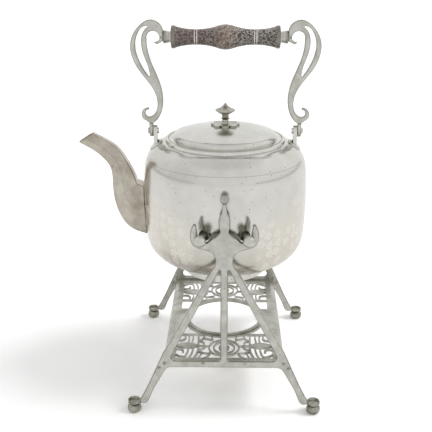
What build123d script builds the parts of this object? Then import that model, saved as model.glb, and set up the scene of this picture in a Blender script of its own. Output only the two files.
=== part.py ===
from build123d import *
from math import atan2, cos, degrees, pi, radians, sin, sqrt, tan
import os

# Spirit kettle on a tilting stand, in millimetres. The table is z = 0, +Z is up, the spout
# points to -X and the two cast stand frames face -Y (front) and +Y (back). The kettle hangs
# by four trunnion pins in open notches of the frames and pours by rolling about the two pins
# on its spout side. The row's origin is the middle of the footprint, at table level.

# ---- driving dimensions: kettle body ----
body_r = 75.0  # largest radius of the body
widest_z = 174.4  # height of the largest radius
flank_r = 371.5  # curve of the flank, bottom to top
bottom_z = 105.6  # lowest point of the dished bottom
dish_r = 132.3  # curve of the dished bottom
heel_knuckle_r = 27.2  # rounding between the bottom and the flank
crown_z = 233.5  # where the shoulder's curve would meet the axis
crown_r = 286.6  # curve of the shoulder beside the neck
shoulder_knuckle_r = 25.5  # rounding between the flank and the shoulder
wall = 1.2  # sheet of the body
neck_r = 48.5  # mouth of the body
heel_seam_z = 131.0  # soldered seams of the body: bottom to flank
shoulder_seam_z = 205.6  # and flank to shoulder
foot_ring_r = 39.0
foot_ring_z = 104.0
foot_ring_t = 2.2

# ---- rim, lid and knob ----
rim_r = 54.2
rim_bead_w = 2.6
rim_seat_w = 2.8  # ledge that the lid's flange rests on
rim_z = 230.9
seat_z = 229.7
lid_lift = 0.1  # lid's flange over the ledge
lid_gap = 0.4  # lid's flange inside the bead
lid_wall = 1.0
dome_r = 47.2
dome_rise = 11.5
dome_curve_r = 151.0  # curve of the dome's top
dome_knuckle_r = 4.5  # rounding of the dome's edge
bezel_depth = 6.0
bezel_gap = 0.6
rosette_r = 13.0
rosette_t = 1.7
petals = 8
petal_r = 3.7
stem_r = 2.9
stem_collar_r = 4.2
knob_r = 8.9
knob_z = 253.0  # underside of the knob
knob_h = 9.2
knob_edge_w = 1.0
screw_r = 1.6
nut_r = 3.4
nut_t = 2.2

# ---- lid hinge ----
hinge_y = 57.4
hinge_z = 230.35
knuckle_r = 2.1
knuckle_w = 8.0  # width of the lid's knuckle
ear_w = 4.5
hinge_pin_r = 1.0
hinge_gap = 0.3
notch_side_gap = 0.8  # rim's notch beside the lid's strap
running_gap = 0.06  # between a pin and the part that turns on it

# ---- spout ----
spout_reach = 133.0
spout_wall = 1.2

# ---- trunnion pins ----
pin_x = 18.6  # where a pin crosses the middle of its frame
pin_z = 165.0
pin_r = 3.0
pin_collar_r = 4.7
pin_collar_w = 3.4
pin_knob_r = 5.0
pin_knob_out = 6.9  # from the middle of a frame to the middle of a pin's end knob

# ---- swing handle ----
pivot_z = 237.0
lug_in = 12.1  # from the body's largest radius to the middle of a lug
lug_t = 3.2
lug_r = 5.0
lug_pad_t = 1.4
lug_pad_w = 14.0
lug_pad_l = 10.5
lug_stud_r = 2.0
tab_t = 3.2
tab_r = 5.4
tab_gap = 0.4
rivet_r = 1.9
rivet_head_r = 3.3
rivet_head_t = 1.5
upright_t = 5.0
grip_z = 319.6
grip_half = 43.5
grip_mid_r = 10.7
grip_bulge_x = 6.0  # where the middle's rounding turns into a slope
grip_slope_r = 9.75
grip_waist_r = 6.5
grip_waist_x = 25.8
grip_end_r = 9.1
ferrule_w = 3.6
ferrule_r = 9.8
collar_l = 10.5  # length of a grip collar
tab_rise = 7.5  # from the pivot to where a tab runs into its upright
rod_r = 2.2
band_w = 0.9
band_pitch = 2.0
band_t = 0.5
rod_seat = 2.6  # how far the rod goes into an upright
collar_r = 5.6

# ---- stand ----
lean = 2.5  # degrees, each frame leans in at the top
hub_gap = 7.6  # from the body's flank to the middle of a frame, at pin height
frame_t = 3.8
notch_gap = 0.65
bar_w = 6.2  # middle bar of a frame
finial_r = 3.95
finial_z = 201.4
cross_low_z = 45.2
cross_top_z = 51.3
window_top_z = 138.4
leg_width = 11.1  # across a leg at platform height, from window to outer edge
window_fillet = 4.0
foot_out = 20.3  # from a leg's edge at platform height to the middle of its foot
foot_disc_r = 5.6
foot_disc_t = 2.8
foot_dish = 1.6  # depth of the dish in a foot's disc
foot_lip = 0.9
bun_r = 6.2
bun_h = 8.8
plate_half_x = 49.0
plate_top_z = 48.2
plate_t = 2.0
burner_r = 35.5
burner_ring_w = 3.1
burner_ring_h = 3.4
seam_y = 35.6  # where the middle plate meets the pierced panels
seam_gap = 0.1
sheet_t = 1.6  # skirts, ears and flanges
skirt_w = 5.4
skirt_h = 6.6
skirt_clear = 5.6  # from a skirt's edge to the outer edge of the leg beside it
field_x = 43.7  # half width of the pierced field
field_in_y = 36.7  # where the field starts, from the kettle's axis
field_out_y = 78.0
ring_rim = 1.6  # metal left beside the burner's ring
seam_rim = 1.1  # metal left beside the seam
corner_in_y = 16.0  # where a corner piercing of the middle plate starts
medallion_y = 59.8
medallion_r = 14.5
medallion_w = 1.5
inner_ring_r = 10.2
inner_ring_w = 1.3
boss_r = 5.0
bridge_w = 2.2
flange_drop = 0.5  # a panel's flange stays this far below the top of the crossbar
flange_short = 4.0  # how far a panel's flange ends before the platform's side
stand_rivet_r = 0.9
stand_head_r = 1.4
stand_head_t = 0.6

# ---- derived places ----
lug_x = body_r - lug_in
collar_end_x = grip_half + collar_l  # where a grip collar meets its upright
hub_y = body_r + hub_gap
skirt_x = plate_half_x + skirt_w
leg_x = skirt_x + skirt_clear  # outer edge of a leg at platform height
window_x = leg_x - leg_width  # lower outer corner of a window, before rounding
foot_x = leg_x + foot_out
pin_reach = sqrt(hub_y**2 + pin_x**2) + pin_knob_out  # kettle axis to the middle of an end knob
axis_x = (spout_reach - foot_x - bun_r) / 2  # kettle axis, seen from the footprint's middle
upright = Plane((axis_x, 0, 0))
front = Plane((axis_x, 0, 0), x_dir=(1, 0, 0), z_dir=(0, -1, 0))
side = Plane((axis_x, 0, 0), x_dir=(0, 1, 0), z_dir=(1, 0, 0))
middle = Plane.YZ.offset(axis_x)
kettle_axis = Axis((axis_x, 0, 0), (0, 0, 1))

os.makedirs("parts", exist_ok=True)


def save(built, label):
    """Label a finished piece and write it as its own STEP file."""
    built.part.label = label
    export_step(built.part, f"parts/{label}.step")


def save_mirrored(built, label, about):
    """Write a piece's mirror image as a node of its own."""
    with BuildPart() as image:
        mirror(built.part, about=about)
    save(image, label)


def body_solid(inset):
    """Solid of revolution inside the body's outer face, drawn in by the inset."""
    with BuildPart() as solid:
        with BuildSketch(front):
            with Locations((0, widest_z)):
                Rectangle(2 * body_r, 2 * crown_z, align=(Align.MIN, Align.CENTER))
            with Locations((0, bottom_z + dish_r)):
                Circle(dish_r - inset, mode=Mode.INTERSECT)
            with Locations((body_r - flank_r, widest_z)):
                Circle(flank_r - inset, mode=Mode.INTERSECT)
            with Locations((0, crown_z - crown_r)):
                Circle(crown_r - inset, mode=Mode.INTERSECT)
            heel = vertices().filter_by_position(Axis.X, neck_r, body_r).sort_by(Axis.Y)[0]
            fillet(heel, heel_knuckle_r - inset)
            shoulder = vertices().filter_by_position(Axis.X, neck_r, body_r).sort_by(Axis.Y)[-1]
            fillet(shoulder, shoulder_knuckle_r - inset)
        revolve(axis=kettle_axis)
    return solid.part


body_outside = body_solid(0)
body_inside = body_solid(wall)


def shoulder_height(radius):
    """Height of the body's outer face at a radius on the shoulder."""
    plumb = Edge.make_line((axis_x + radius, 0, widest_z), (axis_x + radius, 0, crown_z))
    return plumb.intersect(body_outside)[0].bounding_box().max.Z


# ---- kettle: bottom, flank and shoulder spun apart and soldered edge to edge ----
spout_hole_z = 163.0
spout_hole_r = 11.0
with BuildPart() as kettle_sheet:
    add(body_outside)
    add(body_inside, mode=Mode.SUBTRACT)
    with BuildSketch(upright.offset(widest_z)):
        Circle(neck_r)
    extrude(amount=crown_z, mode=Mode.SUBTRACT)
    with BuildSketch(side.offset(-body_r - wall)):
        with Locations((0, spout_hole_z)):
            Circle(spout_hole_r)
    extrude(amount=body_r / 2, mode=Mode.SUBTRACT)

heel_seam = Plane.XY.offset(heel_seam_z)
shoulder_seam = Plane.XY.offset(shoulder_seam_z)
with BuildPart() as kettle_bottom:
    split(kettle_sheet.part, bisect_by=heel_seam, keep=Keep.BOTTOM)
save(kettle_bottom, "kettle_bottom")
with BuildPart() as kettle_body:
    split(kettle_sheet.part, bisect_by=heel_seam, keep=Keep.TOP)
    split(bisect_by=shoulder_seam, keep=Keep.BOTTOM)
save(kettle_body, "kettle_body")
with BuildPart() as kettle_shoulder:
    split(kettle_sheet.part, bisect_by=shoulder_seam, keep=Keep.TOP)
save(kettle_shoulder, "kettle_shoulder")

# ---- foot ring soldered under the rounded bottom ----
with BuildPart() as foot_ring:
    with BuildSketch(upright.offset(foot_ring_z)):
        Circle(foot_ring_r)
        Circle(foot_ring_r - foot_ring_t, mode=Mode.SUBTRACT)
    extrude(amount=widest_z - foot_ring_z)
    add(body_outside, mode=Mode.SUBTRACT)
save(foot_ring, "foot_ring")


# ---- spout: six-sided swan neck, lofted through stations and soldered on the flank ----
# Each station: how far its middle stands off the flank, as a share of the way to the tip, its
# height, its tilt in degrees (0 faces out to -X, 90 faces up), half its height and half its width.
spout_stations = (
    (-0.086, 162.0, 0, 23.5, 17.5),
    (0.069, 164.5, 10, 22.0, 15.5),
    (0.236, 171.8, 24, 18.4, 12.6),
    (0.303, 185.0, 58, 12.4, 10.2),
    (0.355, 200.6, 66, 9.0, 8.6),
    (0.483, 214.4, 45, 7.9, 7.6),
    (0.672, 223.4, 30, 7.0, 6.8),
)
spout_lip_z = 226.6
spout_beak = (13.4, 8.2)  # from the lip back and up to the top of the mouth
spout_tip_w = 5.8


def spout_section(at_x, at_z, tilt, half_h, half_w):
    """Six-sided section of the spout, with its ridges facing front and back."""
    out = Vector(-cos(radians(tilt)), 0, sin(radians(tilt)))
    with BuildSketch(Plane(Vector(axis_x + at_x, 0, at_z), x_dir=(0, 1, 0), z_dir=out)) as section:
        with BuildLine():
            corner = half_w * 0.55
            Polyline(
                (half_w, 0), (corner, half_h), (-corner, half_h),
                (-half_w, 0), (-corner, -half_h), (corner, -half_h), close=True,
            )
        make_face()
    return section.sketch


def spout_solid(inset, overrun):
    """The spout's lofted outside, or its bore when drawn in by the wall."""
    length = spout_reach - body_r
    sections = [
        spout_section(-body_r - share * length, z, tilt, half_h - inset, half_w - inset)
        for share, z, tilt, half_h, half_w in spout_stations
    ]
    mouth = Vector(-spout_reach, spout_lip_z) + Vector(*spout_beak) / 2
    mouth_tilt = degrees(atan2(*spout_beak))
    mouth_h = Vector(*spout_beak).length / 2
    sections.append(spout_section(mouth.X, mouth.Y, mouth_tilt, mouth_h - inset, spout_tip_w - inset))
    with BuildPart() as solid:
        loft(sections)
        if overrun:
            extrude(sections[-1].faces()[0], amount=overrun)
    return solid.part


with BuildPart() as spout:
    add(spout_solid(0, 0))
    add(spout_solid(spout_wall, 4 * spout_wall), mode=Mode.SUBTRACT)
    add(body_outside, mode=Mode.SUBTRACT)
save(spout, "spout")

# ---- rim: turned ring on the shoulder, with the lid's ledge and a notch for its strap ----
seat_r = neck_r + rim_seat_w
with BuildPart() as neck_rim:
    with BuildSketch(front):
        with BuildLine():
            Polyline(
                (neck_r, widest_z), (neck_r, seat_z), (seat_r, seat_z),
                (seat_r + 0.3, rim_z), (rim_r - 0.5, rim_z),
                (rim_r, rim_z - 0.6), (rim_r, widest_z), close=True,
            )
        make_face()
    revolve(axis=kettle_axis)
    add(body_outside, mode=Mode.SUBTRACT)
    split(bisect_by=Plane.XY.offset(shoulder_height(rim_r) - 1), keep=Keep.TOP)
    with BuildSketch(upright.offset(seat_z)):
        with Locations((0, rim_r)):
            Rectangle(knuckle_w + 2 * notch_side_gap, 3 * rim_seat_w)
    extrude(amount=rim_z, mode=Mode.SUBTRACT)
save(neck_rim, "neck_rim")

# ---- lid: domed shell with a flange on the ledge, and a bezel ring soldered under it ----
flange_z = seat_z + lid_lift
flange_r = seat_r - lid_gap
bezel_r = neck_r - bezel_gap
dome_center_z = rim_z + dome_rise - dome_curve_r


def dome_solid(inset):
    """Solid under the lid's dome, drawn in by the inset."""
    with BuildPart() as solid:
        with BuildSketch(front):
            with Locations((0, rim_z)):
                Rectangle(dome_r - inset, dome_rise, align=Align.MIN)
            with Locations((0, dome_center_z)):
                Circle(dome_curve_r - inset, mode=Mode.INTERSECT)
            edge = vertices().filter_by_position(Axis.X, neck_r / 2, rim_r).sort_by(Axis.Y)[-1]
            fillet(edge, dome_knuckle_r - inset)
        revolve(axis=kettle_axis)
    return solid.part


dome_outside = dome_solid(0)
with BuildPart() as lid_shell:
    add(dome_outside)
    with BuildSketch(upright.offset(flange_z)):
        Circle(flange_r)
        Circle(bezel_r - lid_wall, mode=Mode.SUBTRACT)
    extrude(amount=rim_z - flange_z)
    add(dome_solid(lid_wall), mode=Mode.SUBTRACT)
    with BuildSketch(upright.offset(rim_z)):
        Circle(screw_r)
    extrude(amount=2 * dome_rise, mode=Mode.SUBTRACT)
save(lid_shell, "lid_shell")

with BuildPart() as lid_bezel:
    with BuildSketch(upright.offset(flange_z - bezel_depth)):
        Circle(bezel_r)
        Circle(bezel_r - lid_wall, mode=Mode.SUBTRACT)
    extrude(amount=bezel_depth)
save(lid_bezel, "lid_bezel")

# ---- lid hinge: strap and knuckle on the lid, two ears on the rim, one pin through all ----
with BuildPart() as lid_knuckle:
    with BuildSketch(side):
        with Locations((hinge_y, hinge_z)):
            Circle(knuckle_r)
        with BuildLine():
            Polyline(
                (bezel_r, flange_z), (hinge_y, flange_z), (hinge_y, rim_z), (bezel_r, rim_z), close=True
            )
        make_face()
        with Locations((hinge_y, hinge_z)):
            Circle(hinge_pin_r + running_gap, mode=Mode.SUBTRACT)
    extrude(amount=knuckle_w / 2, both=True)
    with BuildSketch(upright.offset(flange_z - 1)):
        Circle(flange_r)
    extrude(amount=rim_z, mode=Mode.SUBTRACT)
save(lid_knuckle, "lid_knuckle")

ear_in = knuckle_w / 2 + hinge_gap
with BuildPart() as hinge_ears:
    with BuildSketch(side.offset(ear_in)):
        with BuildLine():
            Polyline(
                (seat_r + rim_bead_w / 2, widest_z), (seat_r + rim_bead_w / 2, rim_z + 0.4),
                (hinge_y - knuckle_r, hinge_z + knuckle_r), (hinge_y, hinge_z + knuckle_r),
                (hinge_y + knuckle_r, hinge_z), (hinge_y + knuckle_r, widest_z), close=True,
            )
        make_face()
        with Locations((hinge_y, hinge_z)):
            Circle(knuckle_r)
            Circle(hinge_pin_r, mode=Mode.SUBTRACT)
    extrude(amount=ear_w)
    mirror(about=middle)
    add(body_outside, mode=Mode.SUBTRACT)
    add(neck_rim.part, mode=Mode.SUBTRACT)
    split(bisect_by=Plane.XY.offset(shoulder_height(hinge_y + knuckle_r) - 2), keep=Keep.TOP)
save(hinge_ears, "hinge_ears")

with BuildPart() as hinge_pin:
    with BuildSketch(side):
        with Locations((hinge_y, hinge_z)):
            Circle(hinge_pin_r)
    extrude(amount=ear_in + ear_w, both=True)
save(hinge_pin, "hinge_pin")

# ---- knob: petalled plate, turned stem and cap, held by a nut under the lid ----
plate_z = rim_z + dome_rise + rosette_t - 0.5
with BuildPart() as knob_rosette:
    with BuildSketch(upright.offset(rim_z)):
        Circle(rosette_r - petal_r)
        with PolarLocations(rosette_r - petal_r, petals):
            Circle(petal_r)
        Circle(screw_r, mode=Mode.SUBTRACT)
    extrude(amount=plate_z - rim_z)
    add(dome_outside, mode=Mode.SUBTRACT)
save(knob_rosette, "knob_rosette")

nut_top_z = dome_center_z + sqrt((dome_curve_r - lid_wall) ** 2 - nut_r**2)
stud_top_z = knob_z + knob_h / 2
collar_z = (plate_z + knob_z) / 2
with BuildPart() as knob_stem:
    with BuildSketch(front):
        with BuildLine():
            Polyline(
                (0, nut_top_z - nut_t - 1), (screw_r, nut_top_z - nut_t - 1), (screw_r, plate_z),
                (stem_r + 1.2, plate_z), (stem_r, plate_z + 1.6), (stem_r, collar_z - 1),
                (stem_collar_r, collar_z), (stem_r, collar_z + 1), (stem_r + 0.6, knob_z),
                (screw_r, knob_z), (screw_r, stud_top_z), (0, stud_top_z), close=True,
            )
        make_face()
    revolve(axis=kettle_axis)
save(knob_stem, "knob_stem")

with BuildPart() as knob_cap:
    with BuildSketch(front):
        with BuildLine():
            Polyline((0, stud_top_z), (screw_r, stud_top_z), (screw_r, knob_z), (knob_r * 0.6, knob_z))
            Polyline(
                (knob_r * 0.6, knob_z), (knob_r, knob_z + 2.2 * knob_edge_w),
                (knob_r, knob_z + 3.2 * knob_edge_w),
            )
            cone = Spline(
                (knob_r, knob_z + 3.2 * knob_edge_w), (knob_r * 0.42, knob_z + knob_h * 0.62),
                (0.6, knob_z + knob_h), tangents=[(-1, 0.25), (-0.5, 1)],
            )
            Polyline(cone @ 1, (0, knob_z + knob_h), (0, stud_top_z))
        make_face()
    revolve(axis=kettle_axis)
save(knob_cap, "knob_cap")

with BuildPart() as knob_nut:
    with BuildSketch(upright.offset(nut_top_z - nut_t)):
        RegularPolygon(nut_r, 6)
        Circle(screw_r, mode=Mode.SUBTRACT)
    extrude(amount=nut_t)
save(knob_nut, "knob_nut")

# ---- handle lugs: tabs standing on shaped pads, one each side of the shoulder ----
lug_in_x = lug_x - lug_t / 2
tab_in_x = lug_x + lug_t / 2 + tab_gap
rivet_out_x = tab_in_x + tab_t + tab_gap
with BuildPart() as handle_lug:
    add(body_solid(-lug_pad_t))
    with BuildSketch(upright.offset(widest_z)):
        with Locations((lug_x, 0)):
            RectangleRounded(lug_pad_l, lug_pad_w, lug_pad_l / 3)
    extrude(amount=pivot_z - widest_z, mode=Mode.INTERSECT)
    with BuildSketch(side.offset(lug_in_x)):
        with Locations((0, pivot_z)):
            Circle(lug_r)
            with Locations((0, (widest_z - pivot_z) / 2)):
                Rectangle(2 * lug_r, pivot_z - widest_z)
            Circle(rivet_r, mode=Mode.SUBTRACT)
    extrude(amount=lug_t)
    with BuildSketch(upright.offset(widest_z)):
        with Locations((lug_in_x - lug_stud_r, 0)):
            Circle(lug_stud_r)
    extrude(amount=shoulder_height(lug_in_x - lug_stud_r) + lug_pad_t + 0.8 - widest_z)
    add(body_outside, mode=Mode.SUBTRACT)
save(handle_lug, "handle_lug_right")
save_mirrored(handle_lug, "handle_lug_left", middle)

# ---- handle rivets: one through each lug, on which the handle's tab turns ----
with BuildPart() as handle_rivet:
    with BuildSketch(side.offset(lug_in_x - rivet_head_t)):
        with Locations((0, pivot_z)):
            Circle(rivet_head_r - 0.6)
    extrude(amount=rivet_head_t)
    with BuildSketch(side.offset(lug_in_x)):
        with Locations((0, pivot_z)):
            Circle(rivet_r)
    extrude(amount=rivet_out_x - lug_in_x)
    with BuildSketch(side.offset(rivet_out_x)):
        with Locations((0, pivot_z)):
            Circle(rivet_head_r)
    extrude(amount=rivet_head_t, taper=35)
save(handle_rivet, "handle_rivet_right")
save_mirrored(handle_rivet, "handle_rivet_left", middle)

# ---- trunnion pins: turned studs that stand straight out of the flank, two front, two back ----
pin_turn = degrees(atan2(pin_x, hub_y))
for face, y_sign in (("front", -1), ("back", 1)):
    for hand, x_sign in (("left", -1), ("right", 1)):
        out = Vector(x_sign * sin(radians(pin_turn)), y_sign * cos(radians(pin_turn)), 0)
        pin_plane = Plane(Vector(axis_x, 0, pin_z), x_dir=(0, 0, 1), z_dir=out)
        with BuildPart() as trunnion:
            with BuildSketch(pin_plane.offset(body_r - 4 * wall)):
                Circle(pin_collar_r)
            extrude(amount=4 * wall + pin_collar_w)
            with BuildSketch(pin_plane.offset(body_r)):
                Circle(pin_r)
            extrude(amount=pin_reach - body_r)
            with Locations(pin_plane.offset(pin_reach)):
                Sphere(pin_knob_r)
            add(body_outside, mode=Mode.SUBTRACT)
        save(trunnion, f"trunnion_{face}_{hand}")

# ---- handle uprights: S-shaped castings with a long slot, a crook and a tab ----
# Outline points are (outward, up), from the collar's end at the grip or from the tab's pivot.

def by_grip(*points):
    """Handle outline points given from the end of the grip's collar."""
    return [(collar_end_x + out, grip_z + up) for out, up in points]


def by_tab(*points):
    """Handle outline points given from the inner face of the tab, at its pivot."""
    return [(tab_in_x + out, pivot_z + up) for out, up in points]


with BuildPart() as handle_upright:
    with BuildSketch(front):
        with BuildLine():
            neck_face = Line(*by_grip((0, -3.2), (0, 4.5)))
            outer_edge = Spline(
                neck_face @ 1, *by_grip((5.0, 12.8), (10.9, 14.6), (21.3, 9.2), (28.8, -5.1)),
                *by_tab((12.4, 56.0), (-1.2, 36.9), (-4.4, 25.0), (-1.7, 15.6), (2.6, 12.6)),
            )
            curl_inside = ThreePointArc(outer_edge @ 1, *by_tab((6.7, 15.8), (3.7, 19.4)))
            curl_end = ThreePointArc(curl_inside @ 1, *by_tab((3.2, 20.4), (4.3, 20.9)))
            curl_outside = ThreePointArc(curl_end @ 1, *by_tab((10.1, 15.8), (6.0, 9.3)))
            foot_edge = Polyline(curl_outside @ 1, *by_tab((3.2, 6.9), (0, 6.9)))
            inner_edge = Spline(
                foot_edge @ 1, *by_tab((-4.6, 11.1), (-9.4, 25.0), (-6.9, 43.3)),
                *by_grip((11.7, -19.7), (14.4, -7.6), (14.6, -1.6)),
            )
            crook = ThreePointArc(inner_edge @ 1, *by_grip((8.9, 5.1), (3.4, -1.8)))
            Polyline(crook @ 1, *by_grip((5.2, -3.7), (8.4, -4.5), (5.2, -6.1)), neck_face @ 0)
        make_face()
        with BuildLine():
            slot_outer = Spline(
                *by_grip((12.7, 9.0), (16.1, 9.1), (23.2, 0.8), (24.5, -5.0)),
                *by_tab((9.6, 59.8), (1.8, 47.5)),
            )
            Spline(
                slot_outer @ 1, *by_tab((3.0, 57.2)),
                *by_grip((18.1, -13.5), (19.4, -5.7), (18.6, 1.5)), slot_outer @ 0,
            )
        make_face(mode=Mode.SUBTRACT)
    extrude(amount=upright_t / 2, both=True)
    with BuildSketch(side.offset(tab_in_x)):
        with Locations((0, pivot_z)):
            Circle(tab_r)
            with Locations((0, tab_rise / 2)):
                Rectangle(2 * tab_r * 0.85, tab_rise)
    extrude(amount=tab_t)
    with BuildSketch(side.offset(tab_in_x - tab_gap)):
        with Locations((0, pivot_z)):
            Circle(rivet_r + running_gap)
    extrude(amount=tab_t + 2 * tab_gap, mode=Mode.SUBTRACT)
    with BuildSketch(side.offset(collar_end_x - 1)):
        with Locations((0, grip_z)):
            Circle(rod_r)
    extrude(amount=1 + rod_seat, mode=Mode.SUBTRACT)
save(handle_upright, "handle_upright_right")
save_mirrored(handle_upright, "handle_upright_left", middle)

# ---- grip: turned wood on a rod, with a metal collar at each end and thin inlaid bands ----
grip_line = Axis((axis_x, 0, grip_z), (1, 0, 0))
with BuildPart() as grip:
    with BuildSketch(front):
        with BuildLine():
            bulge = ThreePointArc(
                (-grip_bulge_x, grip_z + grip_slope_r), (0, grip_z + grip_mid_r),
                (grip_bulge_x, grip_z + grip_slope_r),
            )
            for hand, bulge_end in ((-1, bulge @ 0), (1, bulge @ 1)):
                waist = (hand * grip_waist_x, grip_z + grip_waist_r)
                TangentArc(waist, bulge_end, tangent=(-hand, 0))
                flare = TangentArc(waist, (hand * grip_half, grip_z + grip_end_r), tangent=(hand, 0))
                Line(flare @ 1, (hand * grip_half, grip_z + rod_r + running_gap))
            Line(
                (-grip_half, grip_z + rod_r + running_gap), (grip_half, grip_z + rod_r + running_gap)
            )
        make_face()
    revolve(axis=grip_line)
save(grip, "grip")

with BuildPart() as grip_bands:
    for center in (-grip_waist_x, grip_waist_x):
        for step in (-0.5, 0.5):
            with BuildSketch(side.offset(center + step * band_pitch - band_w / 2)):
                with Locations((0, grip_z)):
                    Circle(grip_waist_r + band_t)
            extrude(amount=band_w)
    add(grip.part, mode=Mode.SUBTRACT)
    with BuildSketch(side):
        with Locations((0, grip_z)):
            Circle(grip_waist_r - band_t)
    extrude(amount=grip_half, both=True, mode=Mode.SUBTRACT)
save(grip_bands, "grip_bands")

with BuildPart() as grip_rod:
    with BuildSketch(side):
        with Locations((0, grip_z)):
            Circle(rod_r)
    extrude(amount=collar_end_x + rod_seat, both=True)
save(grip_rod, "grip_rod")

with BuildPart() as grip_collar:
    with BuildSketch(front):
        with BuildLine():
            cup_end = grip_half + ferrule_w
            Polyline(
                (grip_half, grip_z + rod_r), (grip_half, grip_z + ferrule_r - 0.4),
                (grip_half + 0.6, grip_z + ferrule_r), (cup_end - 0.6, grip_z + ferrule_r),
                (cup_end, grip_z + ferrule_r - 0.6), (cup_end, grip_z + collar_r - 0.5),
                (cup_end + 1.5, grip_z + collar_r - 0.9), (collar_end_x - 1.2, grip_z + collar_r),
                (collar_end_x, grip_z + collar_r - 0.4), (collar_end_x, grip_z + rod_r), close=True,
            )
        make_face()
    revolve(axis=grip_line)
save(grip_collar, "grip_collar_right")
save_mirrored(grip_collar, "grip_collar_left", middle)

# ---- stand: where the leaning frames run ----
slope = tan(radians(lean))
frame_foot_y = hub_y + pin_z * slope  # middle of a frame at the table
frame_plane = Plane(
    Vector(axis_x, -frame_foot_y, 0),
    x_dir=(1, 0, 0),
    z_dir=(0, -cos(radians(lean)), sin(radians(lean))),
)
notch_r = pin_r + notch_gap

# ---- stand rivets: through each frame into the skirts' ears and the panels' flanges ----
rivet_spots = ((leg_x - 3.0, 44.4), (leg_x - 7.6, 49.2), (18.4, 49.8))
with BuildPart() as stand_rivets:
    for x, z in rivet_spots:
        with BuildSketch(frame_plane.offset(-frame_t / 2 - sheet_t)):
            with Locations((x, z), (-x, z)):
                Circle(stand_rivet_r)
        extrude(amount=frame_t + sheet_t)
        for start, turn in ((frame_t / 2, 1), (-frame_t / 2 - sheet_t, -1)):
            with BuildSketch(frame_plane.offset(start)):
                with Locations((x, z), (-x, z)):
                    Circle(stand_head_r)
            extrude(amount=turn * stand_head_t)
    mirror(about=Plane.XZ)
save(stand_rivets, "stand_rivets")

# ---- feet: dished disc on a turned bun, one at the end of each leg ----
disc_z = bun_h + foot_disc_t / 2
foot_y = hub_y + (pin_z - disc_z) * slope
with BuildPart() as foot:
    foot_plane = Plane((axis_x + foot_x, -foot_y, 0), x_dir=(1, 0, 0), z_dir=(0, -1, 0))
    with BuildSketch(foot_plane):
        with BuildLine():
            top_z = bun_h + foot_disc_t
            Polyline((0, 0), (bun_r * 0.6, 0))
            ThreePointArc((bun_r * 0.6, 0), (bun_r, bun_h * 0.42), (bun_r * 0.52, bun_h - 0.7))
            Polyline(
                (bun_r * 0.52, bun_h - 0.7), (bun_r * 0.52, bun_h), (foot_disc_r - 0.6, bun_h),
                (foot_disc_r, bun_h + 0.6), (foot_disc_r, top_z), (foot_disc_r - foot_lip, top_z),
                (foot_disc_r - 2 * foot_lip, top_z - foot_dish), (0, top_z - foot_dish), (0, 0),
            )
        make_face()
    revolve(axis=Axis((axis_x + foot_x, -foot_y, 0), (0, 0, 1)))
save(foot, "foot_front_right")
save_mirrored(foot, "foot_front_left", middle)
with BuildPart() as feet:
    add(foot.part)
    mirror(about=middle)
    mirror(about=Plane.XZ)
with BuildPart() as foot_back:
    mirror(foot.part, about=Plane.XZ)
save(foot_back, "foot_back_right")
save_mirrored(foot_back, "foot_back_left", middle)

# ---- finials: a ball on top of each frame ----
finial_y = hub_y + (pin_z - finial_z) * slope
with BuildPart() as finial:
    with Locations((axis_x, -finial_y, finial_z)):
        Sphere(finial_r)
save(finial, "finial_front")
save_mirrored(finial, "finial_back", Plane.XZ)

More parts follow.
